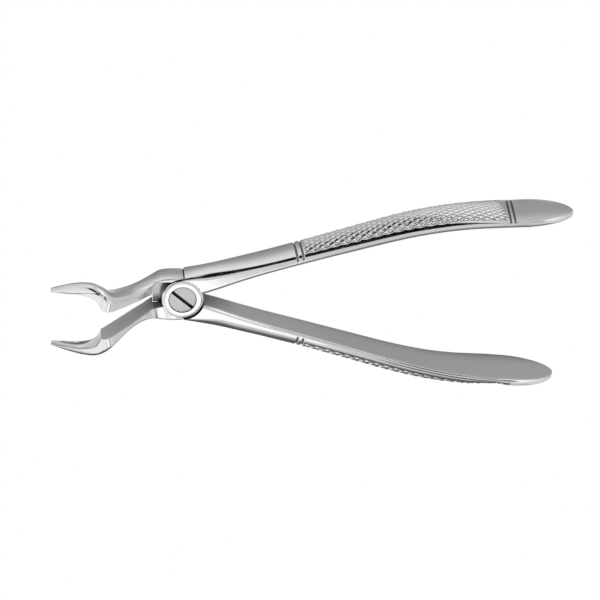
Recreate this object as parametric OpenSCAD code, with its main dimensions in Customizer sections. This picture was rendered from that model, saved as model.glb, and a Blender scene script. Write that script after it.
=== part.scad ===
// Bayonet extraction forceps: two forged halves that cross at a screw lap joint.
// Millimetres. +X runs from the pivot towards the handle ends, +Z is the hinge axis
// and points out of the screw head, and the beaks are offset towards +Z.
// The origin is on the pivot axis, on the flat back face of the joint.
// The model stands open at rest; each half is designed closed and turned open.

/* [Pose] */
// Angle between the two halves at rest
open_angle = 21.4; // [12:0.2:23]

/* [Joint] */
// Thickness of the whole lap joint
joint_t = 10; // [9:0.1:11]
// Diameter of the round boss on the joint plate
boss_d = 14; // [13:0.1:15]
// Height of the boss above the cheek around it
boss_rise = 0.12; // [0.05:0.01:0.3]
// Gap round the boss to the shoulders of the other half
shoulder_gap = 0.35; // [0.2:0.05:0.5]
// Gap between the two sliding lap faces
lap_gap = 0.06; // [0.02:0.01:0.1]
// Gap between the end faces that stop the opening
stop_gap = 0.4; // [0.3:0.05:0.6]

/* [Screw] */
// Diameter of the slotted screw head
head_d = 9.3; // [8:0.1:9.6]
// Depth of the counterbore that the head sits in
head_t = 2; // [1.5:0.1:2.5]
// Diameter of the screw's plain bearing length
shank_d = 6; // [5:0.1:6.5]
// Radial running clearance in the moving half
running_fit = 0.05; // [0.01:0.01:0.1]
// Width of the driver slot
slot_w = 0.9; // [0.7:0.05:1.2]
// Depth of the driver slot
slot_depth = 1.2; // [0.8:0.1:1.5]
// Direction of the driver slot
slot_angle = -40; // [-90:5:90]

/* [Handles] */
// Distance from the pivot to the handle ends
handle_len = 135.4; // [130:0.2:140]
// Depth of the rings cut round the handles
ring_depth = 0.35; // [0.1:0.05:0.5]
// Width of one ring groove
ring_w = 0.9; // [0.6:0.1:1.2]

/* [Beaks] */
// Distance from the pivot to the beak tips
beak_reach = 44.6; // [43:0.1:46]
// Half of the gap that the shank flats keep when closed
flat_relief = 0.06; // [0.05:0.01:0.2]

/* [Hidden] */

half_open = open_angle / 2;
mid_z = joint_t / 2;
boss_r = boss_d / 2;
shoulder_r = boss_r + shoulder_gap;
counterbore_r = head_d / 2 + running_fit;
bore_r = shank_d / 2 + running_fit;

// Where the stop faces stand along X at rest
stop_x = 0.35;
// Milled pocket beside the boss: its end wall and its side wall
pocket_x = 9.8;
pocket_y = 6.4;
// The pocket's floor in the far half: from past the closing line to inside the jaw,
// a little short of the end wall, with its top just under the lap face
floor_low = -2.9;
floor_high = 3.5;
floor_x = 9.7;
floor_drop = 0.05;
floor_t = 4;
// How much of the inner relief beside the joint each half's jaw has
near_relief = 1;
far_relief = 0.15;
// Bevel round the boss and round the screw head
boss_bevel = 0.5;
head_bevel = 0.25;
// Larger than any piece, for cutting away
far_off = 60;

// Number of points along the inner face of a section, and steps between two keys
across = 11;
steps = 4;

steel = "gainsboro";
bright_steel = "whitesmoke";

// Handle sections, closed: distance from the pivot, inner face, side edge and crown
// measured out from the closing plane, then lowest and highest edge from mid-height
handle_keys = [
    [-3, 0.3, 7.0, 8.3, -5.0, 5.0],
    [4, 0.3, 6.4, 8.5, -5.0, 5.0],
    [10, 0.9, 5.5, 8.6, -5.6, 5.0],
    [20, 2.6, 6.2, 8.6, -6.8, 5.0],
    [30, 4.0, 6.9, 9.0, -7.6, 5.0],
    [42, 5.3, 7.9, 10.1, -8.1, 5.1],
    [60, 7.1, 9.5, 12.3, -8.5, 5.6],
    [78, 8.8, 11.1, 14.2, -8.9, 6.5],
    [90, 9.3, 11.5, 14.4, -9.2, 7.5],
    [100, 9.0, 11.2, 13.5, -9.7, 8.4],
    [110, 8.1, 10.1, 11.8, -10.4, 9.4],
    [118, 7.1, 8.9, 10.1, -10.7, 9.7]
];
// Where the rounded end of a handle starts
end_x = 118;
// Centres of the ring grooves
rings = [40.2, 42.2, 112.6, 114.8];

// Jaw sections, closed: running number, upper edge x and height, lower edge x and
// height, then inner rim, extra depth of the hollow, side edge, crown, and lean, which
// thickens the lower edge and thins the upper one
jaw_keys = [
    [0, 3.0, 5.0, 3.0, -5.0, 0.9, 0, 7.3, 8.5, -0.1],
    [1, -4.0, 5.0, -4.0, -5.0, 1.2, 0, 6.4, 7.6, -0.2],
    [2, -8.6, 5.0, -8.2, -5.0, 1.3, 0, 5.1, 6.4, -0.2],
    [3, -11.2, 6.4, -10.2, -4.0, 1.1, 0, 3.8, 5.3, 0],
    [4, -14.5, 11.0, -13.8, 0.4, 0.8, 0, 2.3, 4.1, 0.5],
    [5, -18.2, 16.0, -17.9, 5.1, 0.5, 0, 1.8, 3.4, 0.4],
    [6, -21.6, 20.2, -22.6, 10.6, 0.2, 0, 2.2, 3.9, 0.1],
    [7, -24.4, 23.5, -25.4, 13.8, 0, 0, 2.9, 4.6, -0.2],
    [8, -26.2, 24.2, -27.0, 15.4, 0, 0, 3.5, 5.4, -0.4],
    [9, -27.8, 23.6, -27.8, 15.9, 0, 0, 4.2, 6.1, -0.6]
];
// Beak sections, the same columns, starting at the step behind the hollow
beak_keys = [
    [0, -28.0, 23.6, -28.0, 15.9, 0.6, 0.4, 4.3, 6.2, -0.6],
    [1, -29.6, 23.2, -29.6, 15.9, 2.5, 0.9, 5.1, 6.6, -0.6],
    [2, -32.0, 22.5, -32.0, 15.9, 3.3, 1.2, 5.1, 6.9, -0.5],
    [3, -35.5, 21.5, -35.5, 15.9, 3.3, 1.3, 3.9, 6.2, -0.2],
    [4, -39.0, 20.5, -39.0, 15.9, 2.5, 1.1, 2.9, 4.8, 0],
    [5, -42.0, 19.7, -42.0, 15.9, 1.8, 0.7, 2.1, 3.2, 0],
    [6, -43.8, 19.1, -43.8, 16.0, 1.3, 0.4, 1.6, 2.2, 0]
];

// Smooth curve through the rows of a table, by its first column
function row_at(k, i) = k[min(max(i, 0), len(k) - 1)];
function slope_at(k, i) =
    (row_at(k, i + 1) - row_at(k, i - 1)) / (row_at(k, i + 1)[0] - row_at(k, i - 1)[0]);
function between(k, i, t) =
    let (a = k[i], b = k[i + 1], w = b[0] - a[0])
    a * (2 * t ^ 3 - 3 * t ^ 2 + 1) + slope_at(k, i) * w * (t ^ 3 - 2 * t ^ 2 + t)
    + b * (3 * t ^ 2 - 2 * t ^ 3) + slope_at(k, i + 1) * w * (t ^ 3 - t ^ 2);
function smooth_rows(k, n) = concat(
    [for (i = [0 : len(k) - 2]) for (j = [0 : n - 1]) between(k, i, j / n)],
    [k[len(k) - 1]]
);
function key_index(k, x, i = 0) =
    i >= len(k) - 2 || x < k[i + 1][0] ? i : key_index(k, x, i + 1);
function row_for(k, x) =
    let (i = key_index(k, x)) between(k, i, (x - k[i][0]) / (k[i + 1][0] - k[i][0]));

// One closed section: a row across the inner face, then a row back over the crown.
// top and low are the [x, height] of its two edges.
function section(top, low, rim, hollow, side, crown, lean = 0) = concat(
    [for (i = [0 : across - 1])
        let (u = 1 - 2 * i / (across - 1), p = (top * (1 + u) + low * (1 - u)) / 2)
        [p[0], rim + hollow * (1 - u ^ 2), p[1]]],
    [for (i = [0 : across - 1])
        let (a = 180 - 180 * i / (across - 1), u = cos(a))
        let (p = (top * (1 + u) + low * (1 - u)) / 2)
        [p[0], side - lean * u + (crown - side) * sin(a), p[1]]]
);

// Skin over a list of sections that follow each other along +X, or along -X if back
module skin(sections, back = false) {
    n = 2 * across;
    last = (len(sections) - 1) * n;
    points = [for (s = sections) for (p = s) p];
    walls = [for (k = [0 : len(sections) - 2]) for (i = [0 : n - 1])
        let (a = k * n, j = (i + 1) % n)
        each [[a + i, a + n + j, a + j], [a + i, a + n + i, a + n + j]]];
    start_cap = [for (i = [0 : across - 2])
        each [[i, i + 1, n - 1 - i], [i + 1, n - 2 - i, n - 1 - i]]];
    end_cap = [for (i = [0 : across - 2])
        each [[last + i, last + n - 1 - i, last + i + 1],
              [last + i + 1, last + n - 1 - i, last + n - 2 - i]]];
    faces = concat(walls, start_cap, end_cap);
    turned = [for (f = faces) [f[0], f[2], f[1]]];
    polyhedron(points, back ? turned : faces, convexity = 8);
}

// How deep a ring groove cuts at a place along the handle
function ring_cut(x) = min([for (r = rings) abs(x - r)]) < ring_w / 2 ? ring_depth : 0;
// The places where a section is needed to shape the ring grooves, in order
ring_places = [for (r = rings) for (d = [-0.05, 0.15, ring_w - 0.15, ring_w + 0.05])
    r - ring_w / 2 + d];

function handle_section(x) =
    let (r = row_for(handle_keys, x), c = ring_cut(x))
    section([x, r[5] - c], [x, r[4] + c], r[1], 0, r[2] - c, r[3] - c);

// The rounded end: a half ellipse in plan that also thins to the tip
function end_section(a) =
    let (r = row_for(handle_keys, end_x), len = handle_len - end_x)
    let (x = end_x + len * sin(a), shrink = max(cos(a), 0.12))
    let (slope = slope_at(handle_keys, len(handle_keys) - 1) * (x - end_x))
    let (inner = r[1] + slope[1] * 0.8, thick = (r[3] - r[1]) * (0.35 + 0.65 * cos(a)))
    let (mid = (r[4] + r[5]) / 2, half_w = (r[5] - r[4]) / 2 * shrink)
    section([x, mid + half_w], [x, mid - half_w], inner, 0, inner + thick * 0.6, inner + thick);

module handle() {
    before = [for (x = [-3 : 3.5 : 39]) x];
    middle = [for (x = [46 : 4.5 : 110]) x];
    places = concat(before, [for (i = [0 : 7]) ring_places[i]], middle,
        [for (i = [8 : 15]) ring_places[i]]);
    skin(concat([for (x = places) handle_section(x)],
        [for (a = [0 : 12 : 84]) end_section(a)]));
}

module jaw(relief) {
    shank = [for (r = smooth_rows(jaw_keys, steps))
        section([r[1], r[2]], [r[3], r[4]], r[5] * relief + flat_relief, r[6], r[7], r[8], r[9])];
    beak = [for (r = smooth_rows(beak_keys, steps))
        section([r[1], r[2]], [r[3], r[4]], r[5], r[6], r[7], r[8], r[9])];
    tip = section([-beak_reach, 18.4], [-beak_reach, 16.5], 1.3, 0.1, 1.5, 1.7);
    skin(concat(shank, beak, [tip]), back = true);
}

// Everything on one side of a plane across X
module beyond(x) {
    translate([x, -far_off, -far_off])
        cube([4 * far_off, 2 * far_off, 2 * far_off]);
}

// The round plate of one half, between the lap face and the outer face
module plate() {
    rotate_extrude($fn = 96)
        polygon([
            [0, lap_gap / 2], [boss_r, lap_gap / 2],
            [boss_r, mid_z + boss_rise - boss_bevel],
            [boss_r - boss_bevel, mid_z + boss_rise], [0, mid_z + boss_rise]
        ]);
}

// Room for the plate of the other half, with the milled pocket on the jaw side
module plate_room() {
    translate([0, 0, lap_gap / 2 - far_off])
        cylinder(h = far_off, r = shoulder_r, $fn = 96);
    translate([-pocket_x, -pocket_y, lap_gap / 2 - far_off])
        cube([pocket_x, pocket_y, far_off]);
}

// The floor of the pocket beside the boss, under the lap face
module pocket_floor() {
    translate([-floor_x, floor_low, -floor_drop - floor_t])
        cube([floor_x, floor_high - floor_low, floor_t]);
}

// One half lying at mid-height with its plate uppermost, handle on +Y, jaw on -Y
module handle_arm() {
    intersection() {
        rotate([0, 0, half_open])
            handle();
        beyond(stop_x + stop_gap / 2);
    }
}

module jaw_arm(relief) {
    difference() {
        rotate([0, 0, half_open])
            mirror([0, 1, 0])
                jaw(relief);
        beyond(stop_x - stop_gap / 2);
    }
}

module near_half() color(steel) translate([0, 0, mid_z]) {
    difference() {
        union() {
            handle_arm();
            jaw_arm(near_relief);
            plate();
        }
        plate_room();
        translate([0, 0, -1])
            cylinder(h = joint_t, r = bore_r, $fn = 64);
        translate([0, 0, mid_z - head_t])
            cylinder(h = joint_t, r = counterbore_r, $fn = 64);
    }
}

module far_half() color(steel) translate([0, 0, mid_z]) {
    difference() {
        union() {
            mirror([0, 1, 0]) {
                handle_arm();
                jaw_arm(far_relief);
            }
            mirror([0, 0, 1])
                plate();
            pocket_floor();
        }
        mirror([0, 1, 0])
            mirror([0, 0, 1])
                plate_room();
        translate([0, 0, -joint_t])
            cylinder(h = 2 * joint_t, r = shank_d / 2, $fn = 64);
    }
}

module pivot_screw() color(bright_steel) {
    seat_z = joint_t - head_t + running_fit;
    top_z = joint_t + boss_rise;
    head_r = head_d / 2;
    difference() {
        rotate_extrude($fn = 64)
            polygon([
                [0, 0], [shank_d / 2, 0], [shank_d / 2, seat_z], [head_r, seat_z],
                [head_r, top_z - head_bevel], [head_r - head_bevel, top_z], [0, top_z]
            ]);
        rotate([0, 0, slot_angle])
            translate([-head_d, -slot_w / 2, top_z - slot_depth])
                cube([2 * head_d, slot_w, joint_t]);
    }
}

far_half();
near_half();
pivot_screw();
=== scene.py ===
"""Bayonet extraction forceps: two forged steel halves and a slotted pivot screw.

The shapes are written in millimetres in the CAD frame, and finish_mesh scales them to metres.
+X runs from the pivot to the handle ends, and +Z is the hinge axis, out of the screw head.
"""

import math

import bmesh
import bpy
import numpy as np
from mathutils import Matrix, Vector


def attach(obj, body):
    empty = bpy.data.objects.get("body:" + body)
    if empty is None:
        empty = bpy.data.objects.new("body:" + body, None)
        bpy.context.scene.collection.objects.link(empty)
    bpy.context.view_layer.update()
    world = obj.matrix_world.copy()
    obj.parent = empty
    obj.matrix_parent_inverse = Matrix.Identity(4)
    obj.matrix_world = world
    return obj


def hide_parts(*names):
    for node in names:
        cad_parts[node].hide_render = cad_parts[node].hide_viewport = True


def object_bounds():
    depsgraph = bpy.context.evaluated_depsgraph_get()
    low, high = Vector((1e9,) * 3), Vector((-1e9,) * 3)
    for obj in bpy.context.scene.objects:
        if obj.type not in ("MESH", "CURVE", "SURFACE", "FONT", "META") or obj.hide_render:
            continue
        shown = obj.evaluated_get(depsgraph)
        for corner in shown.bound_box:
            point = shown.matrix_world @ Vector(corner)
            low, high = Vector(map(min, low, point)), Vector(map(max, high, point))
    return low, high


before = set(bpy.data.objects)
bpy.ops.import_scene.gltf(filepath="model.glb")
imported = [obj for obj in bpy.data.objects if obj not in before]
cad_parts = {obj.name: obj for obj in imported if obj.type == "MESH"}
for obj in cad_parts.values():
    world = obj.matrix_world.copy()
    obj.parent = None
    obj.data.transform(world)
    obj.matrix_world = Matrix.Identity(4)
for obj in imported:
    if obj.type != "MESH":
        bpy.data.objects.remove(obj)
CAD_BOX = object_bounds()

MM = 0.001

# ---------------------------------------------------------------- sizes, millimetres

# How far each half is turned from closed at rest, and the plane where the two halves meet
HALF_OPEN = math.radians(10.7)
MID_Z = 5.0

# Joint: the gap between the lap faces, and the round boss with its rounded shoulder
LAP_GAP = 0.06
BOSS_R = 7.0
BOSS_RISE = 0.12
BOSS_BEVEL = 0.5
BOSS_SHOULDER = 1.3
# The room that each half leaves for the other's plate: round, with a pocket towards the jaws
SHOULDER_R = 7.5
POCKET_X = 9.8
POCKET_Y = 6.4
POCKET_OVERLAP = 0.001
# The floor of that pocket, part of the far half: two corners, measured from the mid-plane
FLOOR_LOW = (-9.7, -2.9, -4.05)
FLOOR_HIGH = (0, 3.5, -0.05)
# The stop, where one half's handle faces the other half's jaw: its place and its gap
STOP_X = 0.35
STOP_GAP = 0.4
# How much of the jaw table's inner relief each half has, and the relief that both have
NEAR_RELIEF = 1.0
FAR_RELIEF = 0.15
FLAT_RELIEF = 0.06

# Pivot screw, with its running fit in the near half and its tight fit in the far half
HEAD_R = 4.65
HEAD_T = 2.0
HEAD_BEVEL = 0.25
HEAD_DOME_R = 70.0
DOME_INNER_R = 0.3
DOME_STEPS = 12
SHANK_R = 3.0
SHANK_CHAMFER = 0.2
RUNNING_FIT = 0.05
TIGHT_FIT = 0.005
SLOT_W = 1.1
SLOT_DEPTH = 1.2
SLOT_ANGLE = math.radians(-40)

# Handles: where they begin, inside the joint, and where the rounded end starts and how long it is
HANDLE_START_X = -3
END_X = 118.0
END_LEN = 17.3
# Shares: the handle's slope that the end keeps, its thickness at the tip, and its side edge's height
END_SLOPE = 0.8
END_TIP = 0.35
END_SIDE = 0.6
# Radius of the corners along a handle's flat inner face, and its most as a share of a thin
# section's width and of its side wall
CORNER_R = 1.1
CORNER_OF_WIDTH = 0.25
CORNER_OF_WALL = 0.6
# Ring grooves: place at the crown's near edge, lean away from that edge, width and depth
RINGS = (
    (40.2, 0.0, 0.95, 0.42), (42.2, 0.0, 0.95, 0.42), (112.1, 0.12, 0.8, 0.4), (113.6, 0.12, 0.8, 0.4),
)
# Half the width of a groove's flat bottom, and the stretch in which it fades above the corners
RING_FLAT = 0.12
RING_FADE = 1.0
# The crease where the side wall turns into the crown: its strength at places along the handle
CREASE_X = (5, 14, 26, 38, 46)
CREASE = (0.0, 0.1, 0.3, 0.5, 0.7)
# The far handle's rings sit further out, and its crown starts lower between two short ramps
FAR_RING_SHIFT = 1.5
FAR_SIDE_DROP = 1.0
FAR_DROP_IN = (8.0, 16.0)
FAR_DROP_OUT = (118, 112)
# Its crown is squarer on the near side (1 is a half ellipse) and a little higher close to the joint
FAR_SQUARE_X = (4, 12, 20, 32, 50, 84, 104, 116)
FAR_SQUARE = (1.0, 0.85, 0.64, 0.5, 0.48, 0.6, 0.6, 1.0)
FAR_CROWN_X = (6, 14, 24, 36, 48, 60)
FAR_CROWN = (0.0, 0.15, 0.4, 0.4, 0.2, 0.0)
# How much lower the near edge of a beak's crown is: places along the beak and amounts
BEAK_DROP_X = (-44, -40, -32, -26, -22)
BEAK_DROP = (0.1, 0.4, 0.9, 0.7, 0.0)

# Further out than any half reaches across, for blocks and rooms that cut right through
FAR_OFF = 60.0

# Handle sections: x, inner face, side edge, crown, low edge, high edge
HANDLE_KEYS = np.array([
    [-3, 0.3, 7.0, 8.3, -5.0, 5.0],
    [4, 0.3, 6.4, 8.5, -5.0, 5.0],
    [10, 0.9, 5.5, 8.6, -5.6, 5.0],
    [20, 2.6, 6.2, 8.6, -6.8, 5.0],
    [30, 4.0, 6.9, 9.0, -7.6, 5.0],
    [42, 5.3, 7.9, 10.1, -8.1, 5.1],
    [60, 7.1, 9.5, 12.3, -8.5, 5.6],
    [78, 8.8, 11.1, 14.2, -8.9, 6.5],
    [90, 9.3, 11.5, 14.4, -9.2, 7.5],
    [100, 9.0, 11.2, 13.5, -9.7, 8.4],
    [110, 8.1, 10.1, 11.8, -10.4, 9.4],
    [118, 7.1, 8.9, 10.1, -10.7, 9.7],
])
# Jaw sections, then beak sections: number, upper edge x, z, lower edge x, z, inner rim, hollow,
# side edge, crown and lean
JAW_KEYS = np.array([
    [0, 3.0, 5.0, 3.0, -5.0, 0.9, 0, 7.3, 8.5, -0.1],
    [1, -4.0, 5.0, -4.0, -5.0, 1.2, 0, 6.4, 7.6, -0.2],
    [2, -8.6, 5.0, -8.2, -5.0, 1.3, 0, 5.1, 6.4, -0.2],
    [3, -11.2, 6.4, -10.2, -4.0, 1.1, 0, 3.8, 5.3, 0],
    [4, -14.5, 11.0, -13.8, 0.4, 0.8, 0, 2.3, 4.1, 0.5],
    [5, -18.2, 16.0, -17.9, 5.1, 0.5, 0, 1.8, 3.4, 0.4],
    [6, -21.6, 20.2, -22.6, 10.6, 0.2, 0, 2.2, 3.9, 0.1],
    [7, -24.4, 23.5, -25.4, 13.8, 0, 0, 2.9, 4.6, -0.2],
    [8, -26.2, 24.2, -27.0, 15.4, 0, 0, 3.5, 5.4, -0.4],
    [9, -27.8, 23.6, -27.8, 15.9, 0, 0, 4.2, 6.1, -0.6],
])
BEAK_KEYS = np.array([
    [0, -28.0, 23.6, -28.0, 15.9, 0.6, 0.4, 4.3, 6.2, -0.6],
    [1, -29.6, 23.2, -29.6, 15.9, 2.5, 0.9, 5.1, 6.6, -0.6],
    [2, -32.0, 22.5, -32.0, 15.9, 3.3, 1.2, 5.1, 6.9, -0.5],
    [3, -35.5, 21.5, -35.5, 15.9, 3.3, 1.3, 3.9, 6.2, -0.2],
    [4, -39.0, 20.5, -39.0, 15.9, 2.5, 1.1, 2.9, 4.8, 0],
    [5, -42.0, 19.7, -42.0, 15.9, 1.8, 0.7, 2.1, 3.2, 0],
    [6, -43.8, 19.1, -43.8, 16.0, 1.3, 0.4, 1.6, 2.2, 0],
    [7, -44.5, 18.5, -44.5, 16.4, 1.3, 0.1, 1.5, 1.75, 0],
])

# Knurl: two families of grooves that cross, at plus and minus 32 degrees, over the crown.
# Grooves per millimetre along the handle and round it, and the place of one of the tips
KNURL_PER_X = 0.2765
KNURL_PER_S = 0.439
KNURL_CENTRE = (73.3, 3.55)
# Where it starts and ends, and the length in which it fades at both
KNURL_X = (42.9, 111.7)
KNURL_FADE = 0.5
# How far its tips stand up, how deep the two families are below them, and the border along the
# crown's edges in which it starts
KNURL_LIFT = 0.06
KNURL_MAIN = 0.52
KNURL_CROSS = 0.42
KNURL_BORDER = (1.15, 1.9)

# Points that lie closer than this are welded, thinner slivers are dissolved, and edges that turn
# more are sharp
WELD = 0.002
SLIVER = 0.001
SHARP_ANGLE = math.radians(32)

# ------------------------------------------------------------------ mesh helpers


def slope_at(keys, i):
    """The slope of a table at one of its rows, from the rows on both sides."""
    low, high = keys[max(i - 1, 0)], keys[min(i + 1, len(keys) - 1)]
    return (high - low) / (high[0] - low[0])


def row_for(keys, place):
    """The smooth curve through a table's rows, read at one value of its first column."""
    i = min(max(int(np.searchsorted(keys[:, 0], place, "right")) - 1, 0), len(keys) - 2)
    a, b = keys[i], keys[i + 1]
    w = b[0] - a[0]
    t = (place - a[0]) / w
    return (
        a * (2 * t**3 - 3 * t**2 + 1)
        + slope_at(keys, i) * w * (t**3 - 2 * t**2 + t)
        + b * (3 * t**2 - 2 * t**3)
        + slope_at(keys, i + 1) * w * (t**3 - t**2)
    )


def all_rows(keys, steps):
    """A numbered table's smooth rows, with this many steps between two of its own."""
    last = len(keys) - 1
    return [row_for(keys, place) for place in np.linspace(0, last, last * steps + 1)]


def smoothstep(low, high, value):
    """0 at low and 1 at high, easing in and out; low may be the greater of the two."""
    t = np.clip((value - low) / (high - low), 0, 1)
    return t * t * (3 - 2 * t)


def mesh_object(name, points, faces):
    """A new object in the scene, with its faces turned outwards."""
    mesh = bpy.data.meshes.new(name)
    mesh.from_pydata([tuple(p) for p in points], [], faces)
    obj = bpy.data.objects.new(name, mesh)
    bpy.context.scene.collection.objects.link(obj)
    bm = bmesh.new()
    bm.from_mesh(mesh)
    bmesh.ops.recalc_face_normals(bm, faces=bm.faces)
    bm.to_mesh(mesh)
    bm.free()
    return obj


def skin(name, loops):
    """A closed solid over closed loops of points that follow each other."""
    n = len(loops[0])
    points = np.concatenate(loops)
    faces = []
    for k in range(len(loops) - 1):
        a, b = k * n, (k + 1) * n
        for i in range(n):
            j = (i + 1) % n
            faces.append((a + i, a + j, b + j, b + i))
    last = (len(loops) - 1) * n
    faces.append(tuple(range(n)))
    faces.append(tuple(range(last + n - 1, last - 1, -1)))
    return mesh_object(name, points, faces)


def lathe(name, profile, steps=128):
    """A solid of revolution round Z through [radius, height] points, the first and last on the axis."""
    points, faces = [(0, 0, profile[0][1]), (0, 0, profile[-1][1])], []
    rings = profile[1:-1]
    for r, z in rings:
        for k in range(steps):
            a = 2 * math.pi * k / steps
            points.append((r * math.cos(a), r * math.sin(a), z))
    for k in range(steps):
        j = (k + 1) % steps
        faces.append((0, 2 + j, 2 + k))
        for m in range(len(rings) - 1):
            a, b = 2 + m * steps, 2 + (m + 1) * steps
            faces.append((a + k, a + j, b + j, b + k))
        top = 2 + (len(rings) - 1) * steps
        faces.append((1, top + k, top + j))
    return mesh_object(name, points, faces)


def block(name, low, high):
    """A box between two corners."""
    (x0, y0, z0), (x1, y1, z1) = low, high
    points = [(x, y, z) for x in (x0, x1) for y in (y0, y1) for z in (z0, z1)]
    faces = [(0, 1, 3, 2), (4, 6, 7, 5), (0, 4, 5, 1), (2, 3, 7, 6), (0, 2, 6, 4), (1, 5, 7, 3)]
    return mesh_object(name, points, faces)


def transform(obj, matrix):
    """Moves the mesh itself, and keeps its faces outwards if the move mirrors it."""
    obj.data.transform(matrix)
    if matrix.determinant() < 0:
        obj.data.flip_normals()
    return obj


def combine(obj, other, operation):
    """Applies one boolean to obj and removes the other solid."""
    mod = obj.modifiers.new("combine", "BOOLEAN")
    mod.operation = operation
    mod.solver = "MANIFOLD"
    mod.object = other
    bpy.context.view_layer.update()
    made = bpy.data.meshes.new_from_object(obj.evaluated_get(bpy.context.evaluated_depsgraph_get()))
    obj.modifiers.clear()
    obj.data = made
    bpy.data.objects.remove(other)
    return obj


def finish_mesh(obj):
    """Cleans slivers and flaps, scales to metres, shades smooth and marks sharp edges by angle."""
    bm = bmesh.new()
    bm.from_mesh(obj.data)
    bmesh.ops.remove_doubles(bm, verts=bm.verts, dist=WELD)
    bmesh.ops.dissolve_degenerate(bm, edges=bm.edges, dist=SLIVER)
    bmesh.ops.triangulate(bm, faces=bm.faces)
    faces_of = {}
    for f in bm.faces:
        faces_of.setdefault(frozenset(f.verts), []).append(f)
    flaps = [f for same in faces_of.values() if len(same) > 1 for f in same]
    bmesh.ops.delete(bm, geom=flaps, context="FACES")
    bmesh.ops.scale(bm, vec=(MM, MM, MM), verts=bm.verts)
    for f in bm.faces:
        f.smooth = True
    for e in bm.edges:
        e.smooth = len(e.link_faces) == 2 and e.calc_face_angle(0) < SHARP_ANGLE
    bm.to_mesh(obj.data)
    bm.free()
    obj.data.update()
    return obj


# ------------------------------------------------------------------ handle

# Where a handle's sections lie along it, closest over the grooves and the knurl
HANDLE_PLACES = np.concatenate([
    np.linspace(HANDLE_START_X, 39.4, 50), np.arange(39.5, 44.4, 0.1), np.arange(44.55, 111.8, 0.24),
    np.arange(111.9, 116.4, 0.1), np.linspace(116.6, 117.8, 4),
])
# The same for its rounded end, as angles of the half ellipse
END_ANGLES = np.radians([*range(0, 84, 4), 84, 86.5, 88.3, 89.3])
# Points of one section along its inner face, each corner, each side wall and its crown, and the
# steps by which the crown's length is measured
INNER_POINTS, CORNER_POINTS, WALL_POINTS, CROWN_POINTS = 8, 6, 6, 112
ARC_STEPS = 721


def crown_arc(x, side, crown, low, high, square):
    """The crown from the near edge to the far edge: arc length so far, y and z at its points."""
    mid, half_w = (low + high) / 2, (high - low) / 2
    fine = np.linspace(0, math.pi, ARC_STEPS)
    inward = np.minimum(fine, math.pi - fine) / (math.pi / 2)
    crease = np.interp(x, CREASE_X, CREASE) * (crown - side) * np.sin(fine) * (1 - inward) ** 2
    near_or_far = np.sign(np.cos(fine))
    power = np.where(near_or_far > 0, square, 1.0)
    arc_z = mid + near_or_far * (half_w * np.abs(np.cos(fine)) ** power - crease)
    arc_y = side + (crown - side) * np.abs(np.sin(fine)) ** power
    length = np.concatenate([[0], np.cumsum(np.hypot(np.diff(arc_z), np.diff(arc_y)))])
    s = np.linspace(0, length[-1], CROWN_POINTS)
    return s, np.interp(s, length, arc_y), np.interp(s, length, arc_z)


def outward(y, z, middle_y):
    """Unit normals of a closed outline that point away from its middle."""
    dy = np.roll(y, -1) - np.roll(y, 1)
    dz = np.roll(z, -1) - np.roll(z, 1)
    size = np.hypot(dy, dz)
    out_y, out_z = dz / size, -dy / size
    if np.sum(out_y * (y - middle_y)) < 0:
        return -out_y, -out_z
    return out_y, out_z


def handle_loop(x, inner, side, crown, low, high, grooved=True, square=1.0, ring_shift=0.0):
    """One closed section of a handle at x, as points [x, y, z], with knurl and rings if grooved."""
    r = min(CORNER_R, CORNER_OF_WIDTH * (high - low), CORNER_OF_WALL * (side - inner))
    turn = np.linspace(0, math.pi / 2, CORNER_POINTS)
    s, arc_y, arc_z = crown_arc(x, side, crown, low, high, square)
    wall = np.linspace(inner + r, side, WALL_POINTS + 2)[1:-1]
    face = np.linspace(low + r, high - r, INNER_POINTS + 2)[1:-1]
    y = np.concatenate([
        np.full(len(face), inner), inner + r - r * np.cos(turn), wall, arc_y, wall[::-1],
        inner + r - r * np.sin(turn),
    ])
    z = np.concatenate([
        face, high - r + r * np.sin(turn), np.full(len(wall), high), arc_z, np.full(len(wall), low),
        low + r - r * np.cos(turn),
    ])
    if grooved:
        start = len(face) + len(turn) + len(wall)
        on_crown = slice(start, start + CROWN_POINTS)
        along = np.zeros(len(y))
        along[on_crown] = s
        push = np.zeros(len(y))
        push[on_crown] = knurl(x, s, s[-1])
        off_face = smoothstep(inner + r, inner + r + RING_FADE, y)
        push -= np.array([ring_cut(x - ring_shift, place) for place in along]) * off_face
        out_y, out_z = outward(y, z, (inner + crown) / 2)
        y = y + out_y * push
        z = z + out_z * push
    return np.stack([np.full(len(y), x), y, z], 1)


def ring_cut(x, s):
    """Depth of the ring grooves at x and at arc length s from the crown's near edge."""
    cuts = [
        depth * float(smoothstep(width / 2, RING_FLAT, abs(x - place - lean * s)))
        for place, lean, width, depth in RINGS
    ]
    return max(cuts)


def knurl(x, s, length):
    """Height of the diamond knurl at x and at arc length s from the crown's near edge."""
    u = KNURL_PER_X * (x - KNURL_CENTRE[0])
    w = KNURL_PER_S * (s - KNURL_CENTRE[1])
    main = np.abs(np.cos(math.pi * (u - w)))
    cross = np.abs(np.cos(math.pi * (u + w)))
    height = KNURL_LIFT - np.maximum(KNURL_MAIN * (1 - main), KNURL_CROSS * (1 - cross))
    start, end = KNURL_X
    ends = float(smoothstep(start, start + KNURL_FADE, x) * smoothstep(end, end - KNURL_FADE, x))
    edges = smoothstep(*KNURL_BORDER, s) * smoothstep(*KNURL_BORDER, length - s)
    return height * ends * edges


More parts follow.
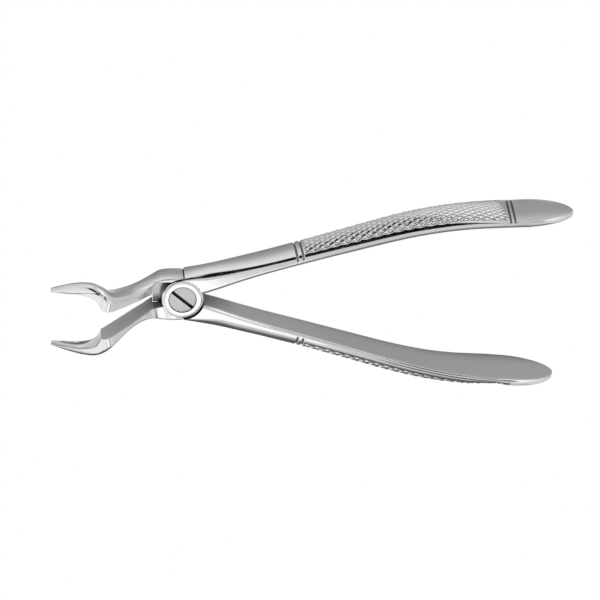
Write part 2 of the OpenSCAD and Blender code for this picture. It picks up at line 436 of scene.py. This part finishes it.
def handle(name, far):
    """A handle as it lies when closed, on the +Y side."""
    loops = []
    for x in HANDLE_PLACES:
        _, inner, side, crown, low, high = row_for(HANDLE_KEYS, x)
        square, ring_shift = 1.0, 0.0
        if far:
            side -= FAR_SIDE_DROP * smoothstep(*FAR_DROP_IN, x) * smoothstep(*FAR_DROP_OUT, x)
            crown += np.interp(x, FAR_CROWN_X, FAR_CROWN)
            square, ring_shift = np.interp(x, FAR_SQUARE_X, FAR_SQUARE), FAR_RING_SHIFT
        loops.append(handle_loop(
            x, inner, side, crown, low, high, square=square, ring_shift=ring_shift,
        ))
    return skin(name, loops + rounded_end())


def rounded_end():
    """The sections of a handle's end: a half ellipse in plan that also thins to the tip."""
    _, inner_there, _, crown_there, low, high = HANDLE_KEYS[-1]
    slope = slope_at(HANDLE_KEYS, len(HANDLE_KEYS) - 1)[1]
    mid, half_w = (low + high) / 2, (high - low) / 2
    loops = []
    for a in END_ANGLES:
        x = END_X + END_LEN * math.sin(a)
        inner = inner_there + slope * (x - END_X) * END_SLOPE
        thick = (crown_there - inner_there) * (END_TIP + (1 - END_TIP) * math.cos(a))
        side, crown = inner + END_SIDE * thick, inner + thick
        w = half_w * math.cos(a)
        loops.append(handle_loop(x, inner, side, crown, mid - w, mid + w, grooved=False))
    return loops


# ------------------------------------------------------------------ jaw

# Points of one section across its inner face, over its crown and up each side wall, and sections
# from one row of a table to the next
JAW_INNER, JAW_OUTER, JAW_WALL = 20, 64, 4
SHANK_STEPS, BEAK_STEPS = 10, 12


def jaw_loop(row, relief=None):
    """One closed section of a jaw: across the inner face, then back over the crown.

    The shank's rows come with the share of the table's inner relief that this jaw has.
    """
    _, top_x, top_z, low_x, low_z, rim, hollow, side, crown, lean = row
    if relief is not None:
        rim = rim * relief + FLAT_RELIEF
    u_in = np.linspace(1, -1, JAW_INNER)
    v_in = rim + hollow * (1 - u_in**2)
    a = np.linspace(math.pi, 0, JAW_OUTER)
    u_out = np.cos(a)
    near_edge = np.clip(u_out, 0, 1) ** 2
    v_out = side - lean * u_out + (crown - side) * np.sin(a)
    v_out -= np.interp(top_x, BEAK_DROP_X, BEAK_DROP) * near_edge
    t = np.linspace(0, 1, JAW_WALL + 2)[1:-1]
    u = np.concatenate([u_in, np.full(JAW_WALL, -1.0), u_out, np.full(JAW_WALL, 1.0)])
    v = np.concatenate([
        v_in, v_in[-1] + (v_out[0] - v_in[-1]) * t, v_out, v_out[-1] + (v_in[0] - v_out[-1]) * t,
    ])
    x = (top_x * (1 + u) + low_x * (1 - u)) / 2
    z = (top_z * (1 + u) + low_z * (1 - u)) / 2
    return np.stack([x, v, z], 1)


def jaw(name, relief):
    """A jaw and its beak as they lie when closed, on the +Y side."""
    shank = [jaw_loop(row, relief) for row in all_rows(JAW_KEYS, SHANK_STEPS)]
    beak = [jaw_loop(row) for row in all_rows(BEAK_KEYS, BEAK_STEPS)]
    return skin(name, shank + beak)


# ------------------------------------------------------------------ joint


def beyond(x):
    """Everything on the handles' side of x."""
    return block("cut", (x, -FAR_OFF, -FAR_OFF), (x + 4 * FAR_OFF, FAR_OFF, FAR_OFF))


def disc(radius, low, high):
    return lathe("disc", [(0, low), (radius, low), (radius, high), (0, high)])


def quarter_round(radius, top, across, down, steps):
    """The [radius, height] points of a rounded rim, from its side up to its top face."""
    return [
        (radius - across * (1 - math.cos(a)), top - down * (1 - math.sin(a)))
        for a in np.linspace(0, math.pi / 2, steps)
    ]


def plate():
    """The round joint plate of the near half with its boss, above the mid-plane."""
    top = MID_Z + BOSS_RISE
    shoulder = quarter_round(BOSS_R, top, BOSS_SHOULDER, BOSS_BEVEL, 12)
    return lathe("plate", [(0, LAP_GAP / 2), (BOSS_R, LAP_GAP / 2), *shoulder, (0, top)])


def half(name, far):
    """One half of the forceps at rest, built round the mid-plane and then raised to its place.

    The near half has its plate above the mid-plane, its handle at +Y and its jaw at -Y. The far
    half has all three the other way round.
    """
    opened = Matrix.Rotation(HALF_OPEN, 4, "Z")
    flip_y = Matrix.Diagonal((1, -1, 1, 1))
    flip_z = Matrix.Diagonal((1, 1, -1, 1))
    body = transform(handle(name, far), opened)
    combine(body, beyond(STOP_X + STOP_GAP / 2), "INTERSECT")
    beak = transform(jaw("jaw", FAR_RELIEF if far else NEAR_RELIEF), opened @ flip_y)
    combine(beak, beyond(STOP_X - STOP_GAP / 2), "DIFFERENCE")
    joint = plate()
    round_room = disc(SHOULDER_R, LAP_GAP / 2 - FAR_OFF, LAP_GAP / 2)
    pocket_low = (-POCKET_X, -POCKET_Y, LAP_GAP / 2 - FAR_OFF)
    pocket = block("pocket", pocket_low, (0, POCKET_OVERLAP, LAP_GAP / 2))
    if far:
        transform(body, flip_y)
        transform(beak, flip_y)
        transform(joint, flip_z)
        transform(round_room, flip_y @ flip_z)
        transform(pocket, flip_y @ flip_z)
    combine(body, beak, "UNION")
    combine(body, joint, "UNION")
    if far:
        combine(body, block("floor", FLOOR_LOW, FLOOR_HIGH), "UNION")
    combine(body, round_room, "DIFFERENCE")
    combine(body, pocket, "DIFFERENCE")
    hole_r = SHANK_R + (TIGHT_FIT if far else RUNNING_FIT)
    combine(body, disc(hole_r, -FAR_OFF, FAR_OFF), "DIFFERENCE")
    if not far:
        combine(body, disc(HEAD_R + RUNNING_FIT, MID_Z - HEAD_T, FAR_OFF), "DIFFERENCE")
    transform(body, Matrix.Translation((0, 0, MID_Z)))
    return finish_mesh(body)


def screw(name):
    """The pivot screw: chamfered end, shank, and a slightly domed head with a slot."""
    seat, top = 2 * MID_Z - HEAD_T + RUNNING_FIT, 2 * MID_Z + BOSS_RISE
    rim = quarter_round(HEAD_R, top - HEAD_R**2 / (2 * HEAD_DOME_R), HEAD_BEVEL, HEAD_BEVEL, 6)
    dome_radii = np.linspace(HEAD_R - HEAD_BEVEL, DOME_INNER_R, DOME_STEPS)[1:]
    dome = [(r, top - r**2 / (2 * HEAD_DOME_R)) for r in dome_radii]
    body = lathe(name, [
        (0, 0), (SHANK_R - SHANK_CHAMFER, 0), (SHANK_R, SHANK_CHAMFER), (SHANK_R, seat), (HEAD_R, seat),
        *rim, *dome, (0, top),
    ])
    slot_low = (-2 * HEAD_R, -SLOT_W / 2, top - SLOT_DEPTH)
    slot = block("slot", slot_low, (2 * HEAD_R, SLOT_W / 2, FAR_OFF))
    combine(body, transform(slot, Matrix.Rotation(SLOT_ANGLE, 4, "Z")), "DIFFERENCE")
    return finish_mesh(body)


# ------------------------------------------------------------------ materials


class Graph:
    """Short calls for adding and joining shader nodes."""

    def __init__(self, tree):
        self.tree = tree

    def node(self, kind, **inputs):
        """Adds a node and sets or links its inputs by name."""
        made = self.tree.nodes.new("ShaderNode" + kind)
        for name, value in inputs.items():
            self.put(made.inputs[name.replace("_", " ")], value)
        return made

    def put(self, socket, value):
        """Links a socket or sets a plain value."""
        if isinstance(value, bpy.types.NodeSocket):
            self.tree.links.new(value, socket)
        else:
            socket.default_value = value

    def math(self, operation, *values, clamp=False):
        made = self.tree.nodes.new("ShaderNodeMath")
        made.operation = operation
        made.use_clamp = clamp
        for socket, value in zip(made.inputs, values):
            self.put(socket, value)
        return made.outputs[0]

    def spread(self, value, low, high, to_low, to_high, smooth=True):
        """Maps low to high onto to_low to to_high, and holds the ends."""
        made = self.tree.nodes.new("ShaderNodeMapRange")
        made.interpolation_type = "SMOOTHSTEP" if smooth else "LINEAR"
        for name, number in zip(("Value", "From Min", "From Max", "To Min", "To Max"),
                                (value, low, high, to_low, to_high)):
            self.put(made.inputs[name], number)
        return made.outputs[0]

    def mix(self, a, b, share):
        """Blends two numbers: all a at share 0 and all b at share 1."""
        left = self.math("MULTIPLY", a, self.math("SUBTRACT", 1.0, share))
        return self.math("ADD", left, self.math("MULTIPLY", b, share))

    def ramp(self, value, stops):
        """A grey scale through (place, grey) stops."""
        made = self.tree.nodes.new("ShaderNodeValToRGB")
        self.put(made.inputs[0], value)
        points = made.color_ramp.elements
        while len(points) < len(stops):
            points.new(0.5)
        for point, (place, grey) in zip(points, stops):
            point.position = place
            point.color = (grey, grey, grey, 1)
        return made.outputs[0]

    def noise(self, vector, scale, detail=4.0, rough=0.5, distortion=0.0):
        made = self.node("TexNoise", Vector=vector, Scale=scale, Detail=detail, Roughness=rough,
                         Distortion=distortion)
        return made.outputs[0]


# Painted crevice shade: open space within a short reach of a place, from dark crevice to unshaded, how dark
# it gets, and reach
CREVICE, CREVICE_SHADE_GREY, CREVICE_REACH = (0.4, 0.85), 0.02, 0.0015
# The same painted shade over a wider reach for side walls only, between the jaws and at the joint.
# Side walls are the faces whose normals have less than these amounts of Z
HEMMED, HEMMED_SHADE_GREY, HEMMED_REACH = (0.25, 0.92), 0.15, 0.012
SIDE_WALL = (0.4, 0.8)
# Painted shade in the knurl's and rings' inside corners: how concave they are, how dark it makes
# them, and where along X it starts, in metres
CAVITY, CAVITY_SHADE_GREY, KNURL_REGION = (0.455, 0.497), 0.1, (0.034, 0.036)
# Convex edges are worn: how convex they are
WORN = (0.52, 0.58)
# The milled lap faces: how far from the mid-plane and the axis they reach, in metres, how squarely
# they face up, and how much rougher and darker they are
LAP_BAND, LAP_REACH, LAP_FACING = (0.0001, 0.0003), (0.0115, 0.012), (0.8, 0.95)
LAP_ROUGH, LAP_DARK = 0.25, 0.1
# Noise scales per metre, and how much smears, grinding lines and wear change the roughness
SMEAR_SCALE, CLOUD_SCALE = 120.0, 35.0
SMEAR_ROUGH, LINE_ROUGH, WORN_ROUGH = 0.10, 0.06, 0.05
# The clouds' range in the noise, and the shares of the grey that they leave at its two ends
CLOUDS, CLOUD_GREYS = (0.3, 0.7), (0.975, 1.02)
BLUE_CAST = 1.004
# Radius of the softened edges and height of the grinding lines, in metres, and how strongly they show
BEVEL_R, LINE_HEIGHT, LINE_BUMP = 0.00016, 0.00002, 0.10
# Grey, roughness and stretch of the grinding lines, for the polished halves and the turned screw
POLISHED = (0.62, 0.12, (40, 900, 900))
TURNED = (0.5, 0.36, (900, 900, 40))


def milled(g, place, facing):
    """1 on the milled lap faces round the axis and 0 elsewhere."""
    x, y, z = place
    from_lap = g.math("ABSOLUTE", g.math("SUBTRACT", z, MID_Z * MM))
    from_axis = g.math("SQRT", g.math("ADD", g.math("MULTIPLY", x, x), g.math("MULTIPLY", y, y)))
    near_axis = g.math(
        "MULTIPLY", g.spread(from_axis, *LAP_REACH, 1.0, 0.0), g.spread(facing, *LAP_FACING, 0.0, 1.0),
    )
    return g.math("MULTIPLY", g.spread(from_lap, *LAP_BAND, 1.0, 0.0), near_axis)


def openness(g, reach):
    """How open the space is within reach of a place, from 0 to 1."""
    made = g.node("AmbientOcclusion", Distance=reach)
    made.samples = 12
    return made.outputs["AO"]


def painted_crevice_shade(g, x, facing, pointiness):
    """Painted shade: what crevices, hemmed-in side walls and the knurl's corners leave of the steel's grey.
    """
    # Painted shade: the grey darkens where little open space surrounds a place
    crevice = g.spread(openness(g, CREVICE_REACH), *CREVICE, CREVICE_SHADE_GREY, 1.0)
    # Painted shade in the concave corners of the knurl and rings, past the knurl's start along X
    cavity = g.spread(pointiness, *CAVITY, CAVITY_SHADE_GREY, 1.0)
    cavity = g.mix(1.0, cavity, g.spread(x, *KNURL_REGION, 0.0, 1.0))
    # Painted shade on side walls that the other half hems in
    hemmed = g.spread(openness(g, HEMMED_REACH), *HEMMED, HEMMED_SHADE_GREY, 1.0)
    hemmed = g.mix(hemmed, 1.0, g.spread(facing, *SIDE_WALL, 0.0, 1.0))
    return g.math("MULTIPLY", g.math("MULTIPLY", crevice, cavity), hemmed)


def steel(name, tone, rough, grain):
    """Steel with faint grinding lines, smears, soft worn edges and painted shade in its crevices."""
    mat = bpy.data.materials.new(name)
    mat.use_nodes = True
    g = Graph(mat.node_tree)
    place = g.node("TexCoord").outputs["Object"]
    axes = g.node("SeparateXYZ", Vector=place).outputs
    geometry = g.node("NewGeometry").outputs
    facing = g.node("SeparateXYZ", Vector=geometry["True Normal"]).outputs[2]
    lap = milled(g, axes, facing)

    lines = g.noise(g.node("Mapping", Vector=place, Scale=grain).outputs[0], 1.0, 3.0)
    smears = g.noise(place, SMEAR_SCALE, 4.0, 0.55, 0.6)
    worn = g.spread(geometry["Pointiness"], *WORN, 0.0, 1.0)
    roughness = g.math("ADD", rough, g.math("MULTIPLY", lap, LAP_ROUGH))
    for pattern, amount in ((smears, SMEAR_ROUGH), (lines, LINE_ROUGH)):
        change = g.math("MULTIPLY", g.math("SUBTRACT", pattern, 0.5), amount)
        roughness = g.math("ADD", roughness, change)
    roughness = g.math("ADD", roughness, g.math("MULTIPLY", worn, WORN_ROUGH), clamp=True)

    clouds = g.noise(place, CLOUD_SCALE, 2.0)
    grey = g.math("MULTIPLY", tone, g.spread(clouds, *CLOUDS, *CLOUD_GREYS, False))
    grey = g.math("MULTIPLY", grey, g.math("SUBTRACT", 1.0, g.math("MULTIPLY", lap, LAP_DARK)))
    # Painted shade: darkens the grey in crevices, hemmed-in side walls and the knurl's grooves
    grey = g.math("MULTIPLY", grey, painted_crevice_shade(g, axes[0], facing, geometry["Pointiness"]))
    blue = g.math("MULTIPLY", grey, BLUE_CAST)

    rounding = g.node("Bevel", Radius=BEVEL_R)
    rounding.samples = 6
    bump = g.node("Bump", Strength=LINE_BUMP, Distance=LINE_HEIGHT, Height=lines,
                  Normal=rounding.outputs[0])

    shader = mat.node_tree.nodes["Principled BSDF"].inputs
    shader["Metallic"].default_value = 1.0
    g.put(shader["Base Color"], g.node("CombineColor", Red=grey, Green=grey, Blue=blue).outputs[0])
    g.put(shader["Roughness"], roughness)
    g.put(shader["Normal"], bump.outputs[0])
    return mat


# ------------------------------------------------------------------ scene


# Camera: its lean from straight above towards +Y, its turn towards +X, its distance, and the point
# it looks at, in millimetres
TILT, AZIMUTH, DISTANCE = math.radians(25.8), math.radians(-7.13), 586.9
LOOK_AT = Vector((40.33, -2.43, MID_Z))
# The picture's width in pixels, and millimetres per pixel at that point
FRAME_WIDTH, MM_PER_PIXEL = 600, 0.341
SENSOR_WIDTH = 36


def camera():
    """The camera of the picture, without shift or blur."""
    side = Vector((1, 0, 0))
    level = Vector((0, math.sin(TILT), math.cos(TILT)))
    back = side * math.sin(AZIMUTH) + level * math.cos(AZIMUTH)
    right = side * math.cos(AZIMUTH) - level * math.sin(AZIMUTH)
    up = back.cross(right)
    data = bpy.data.cameras.new("camera")
    data.sensor_width = SENSOR_WIDTH
    data.lens = SENSOR_WIDTH * (DISTANCE / MM_PER_PIXEL) / FRAME_WIDTH
    data.clip_start, data.clip_end = 0.01, 20
    cam = bpy.data.objects.new("camera", data)
    turned = Matrix((right, up, back)).transposed().to_4x4()
    cam.matrix_world = Matrix.Translation((LOOK_AT + back * DISTANCE) * MM) @ turned
    bpy.context.scene.collection.objects.link(cam)
    bpy.context.scene.camera = cam


def emitter(name, strength):
    """A material that only gives white light."""
    mat = bpy.data.materials.new(name)
    mat.use_nodes = True
    nodes, links = mat.node_tree.nodes, mat.node_tree.links
    nodes.clear()
    glow, out = nodes.new("ShaderNodeEmission"), nodes.new("ShaderNodeOutputMaterial")
    glow.inputs["Color"].default_value = (1, 1, 1, 1)
    glow.inputs["Strength"].default_value = strength
    links.new(glow.outputs[0], out.inputs[0])
    return mat


def shown(grey):
    """The light that the polished steel has to mirror to be seen as this display grey."""
    linear = grey / 12.92 if grey <= 0.04045 else ((grey + 0.055) / 1.055) ** 2.4
    return linear / POLISHED[0]


# What the steel mirrors, by the angle round X from straight up towards +Y, as degrees and display
# grey. The tables are for directions that lean more and more from the beaks to the handle ends
FAR_TO_BEAKS = (
    (-180, 0.78), (-140, 0.74), (-100, 0.70), (-65, 0.86), (-45, 0.92), (-10, 0.92), (20, 0.92), (50, 0.88),
    (70, 0.86), (100, 0.82), (120, 0.79), (140, 0.78), (150, 0.76), (162, 0.78), (180, 0.78),
)
TO_BEAKS = (
    (-180, 0.46), (-150, 0.28), (-110, 0.28), (-85, 0.32), (-70, 0.38), (-58, 0.52), (-48, 0.76), (-36, 0.90),
    (-20, 0.80), (80, 0.80), (92, 0.89), (110, 0.86), (130, 0.78), (148, 0.62), (160, 0.56), (180, 0.46),
)
TO_ENDS = (
    (-180, 0.74), (-150, 0.50), (-110, 0.34), (-80, 0.34), (-64, 0.38), (-46, 0.56), (-24, 0.74), (10, 0.78),
    (50, 0.76), (90, 0.74), (120, 0.74), (140, 0.70), (150, 0.60), (160, 0.57), (168, 0.60), (180, 0.74),
)
FAR_TO_ENDS = (
    (-180, 0.50), (-150, 0.40), (-110, 0.38), (-70, 0.45), (-45, 0.66), (-20, 0.80), (20, 0.90), (50, 1.0),
    (90, 1.0), (110, 0.94), (130, 0.78), (146, 0.62), (160, 0.57), (180, 0.50),
)
ALONG_ENDS = (
    (-180, 0.78), (-110, 0.77), (-60, 0.80), (0, 0.85), (60, 0.85), (110, 0.80), (140, 0.76), (165, 0.76),
    (180, 0.78),
)
# Where one table gives way to the next, in degrees from the middle plane towards the handle ends
LIGHT_TABLES = (
    ((-20, -12), TO_BEAKS), ((-4, 12), TO_ENDS), ((14, 21), FAR_TO_ENDS), ((34, 44), ALONG_ENDS),
)
# Dark cards in that light: centre round X and along X, slant and sizes, all in degrees, and how
# much of its size a card keeps fully dark and reaches at most
CARDS = ((56, -9, -0.25, 26, 13), (60, 20, 0.0, 25, 9), (10, -20, 0.42, 26, 8))
CARD_EDGE = (0.8, 1.15)
# The strongest light that a colour ramp has to hold
LIGHT_MAX = 2.0


def light_ramp(g, turn, stops):
    """One table as a light strength, read at a turn round X from 0 to 1."""
    places = [((angle + 180) / 360, shown(grey) / LIGHT_MAX) for angle, grey in stops]
    return g.math("MULTIPLY", g.ramp(turn, places), LIGHT_MAX)


def studio_world():
    """Soft studio light all round, in grey bands that follow X, with dark cards for the steel."""
    world = bpy.data.worlds.new("studio")
    bpy.context.scene.world = world
    world.use_nodes = True
    g = Graph(world.node_tree)
    x, y, z = g.node("SeparateXYZ", Vector=g.node("TexCoord").outputs["Generated"]).outputs
    round_x = g.math("DEGREES", g.math("ARCTAN2", y, z))
    along = g.math("DEGREES", g.math("ARCSINE", x))
    turn = g.spread(round_x, -180, 180, 0, 1, False)
    light = light_ramp(g, turn, FAR_TO_BEAKS)
    for (low, high), table in LIGHT_TABLES:
        light = g.mix(light, light_ramp(g, turn, table), g.spread(along, low, high, 0.0, 1.0))
    for card in CARDS:
        light = g.math("MULTIPLY", light, card_shade(g, round_x, along, *card))
    g.put(world.node_tree.nodes["Background"].inputs["Color"],
          g.node("CombineColor", Red=light, Green=light, Blue=light).outputs[0])


def card_shade(g, round_x, along, centre_round, centre_along, slant, round_size, along_size):
    """0 on a dark oval card and 1 beside it."""
    du = g.math("SUBTRACT", round_x, centre_round)
    dv = g.math("SUBTRACT", g.math("SUBTRACT", along, centre_along), g.math("MULTIPLY", du, slant))
    squares = [
        g.math("POWER", g.math("DIVIDE", g.math("ABSOLUTE", offset), card_size), 2.0)
        for offset, card_size in ((du, round_size), (dv, along_size))
    ]
    return g.spread(g.math("SQRT", g.math("ADD", *squares)), *CARD_EDGE, 0.0, 1.0)


# Light panels above and below the steel: name, centre and size in millimetres, and strength
PANELS = (
    ("softbox", (28, -78, 155), (74, 34), 1.65),
    ("joint_softbox", (6, -52, 156), (34, 26), 1.65),
    ("jaw_fill", (-30, -50, -80), (64, 70), shown(0.76)),
    ("grey_card", (117, -92, 154), (70, 44), shown(0.36)),
)
# The floor's half width, and how far it lies under the object, in metres
FLOOR_HALF, FLOOR_CLEARANCE = 3.0, 0.0002


def panel(name, centre, size, strength):
    """A level panel of soft light, seen only in reflections."""
    (x, y, z), (w, d) = centre, size
    corners = [(x - w / 2, y - d / 2, z), (x + w / 2, y - d / 2, z), (x + w / 2, y + d / 2, z),
               (x - w / 2, y + d / 2, z)]
    obj = mesh_object(name, [tuple(c * MM for c in corner) for corner in corners], [(0, 3, 2, 1)])
    obj.data.materials.append(emitter(name, strength))
    obj.visible_camera = obj.visible_shadow = False


def pale_floor():
    """A plain pale floor under the object, which the steel doesn't mirror."""
    f = FLOOR_HALF
    floor = mesh_object("floor", [(-f, -f, 0), (f, -f, 0), (f, f, 0), (-f, f, 0)], [(0, 1, 2, 3)])
    floor.location.z = CAD_BOX[0].z - FLOOR_CLEARANCE
    floor.data.materials.append(emitter("pale_floor", 1.0))
    floor.visible_glossy = False


# ------------------------------------------------------------------ the object in its studio

near = half("near_half_steel", False)
far = half("far_half_steel", True)
pivot = screw("pivot_screw_steel")
body_steel = steel("polished_steel", *POLISHED)
turned_steel = steel("screw_steel", *TURNED)
for obj, body, node, slot_name, material in (
    (near, "near_side", "near_half", "polished_steel", body_steel),
    (far, "far_side", "far_half", "polished_steel", body_steel),
    (pivot, "far_side", "pivot_screw", "screw_steel", turned_steel),
):
    obj.data.materials.clear()
    obj.data.materials.append(material)
    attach(obj, body)
    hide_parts(node)
camera()
studio_world()
pale_floor()
for settings in PANELS:
    panel(*settings)
bpy.context.scene.view_settings.view_transform = "Standard"

bpy.context.view_layer.update()
